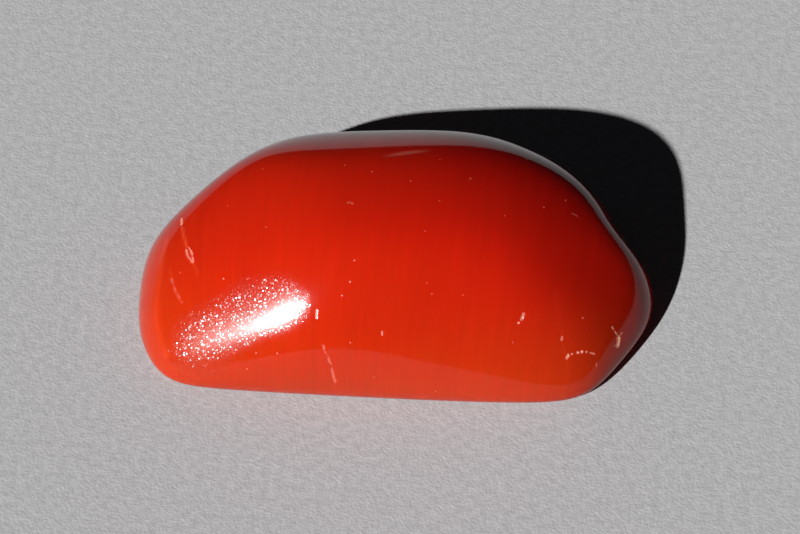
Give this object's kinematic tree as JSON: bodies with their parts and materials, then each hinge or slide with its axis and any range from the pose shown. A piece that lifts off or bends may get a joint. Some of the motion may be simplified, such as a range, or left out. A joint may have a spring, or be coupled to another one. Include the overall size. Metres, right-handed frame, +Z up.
{
  "type": "polished red coral piece",
  "caption": "Polished freeform piece of red precious coral: a low rounded form with softly ground faces and a flat base to rest on.",
  "frame": {"origin": "middle of the flat ground base", "axes": "+X along the stone's length towards its narrower end, +Y away from the steep near side, +Z up from the base"},
  "size_m": [0.026, 0.016, 0.0079],
  "materials": {
    "coral": "polished"
  },
  "bodies": {
    "root": {"coral": "coral"}
  },
  "joints": []
}
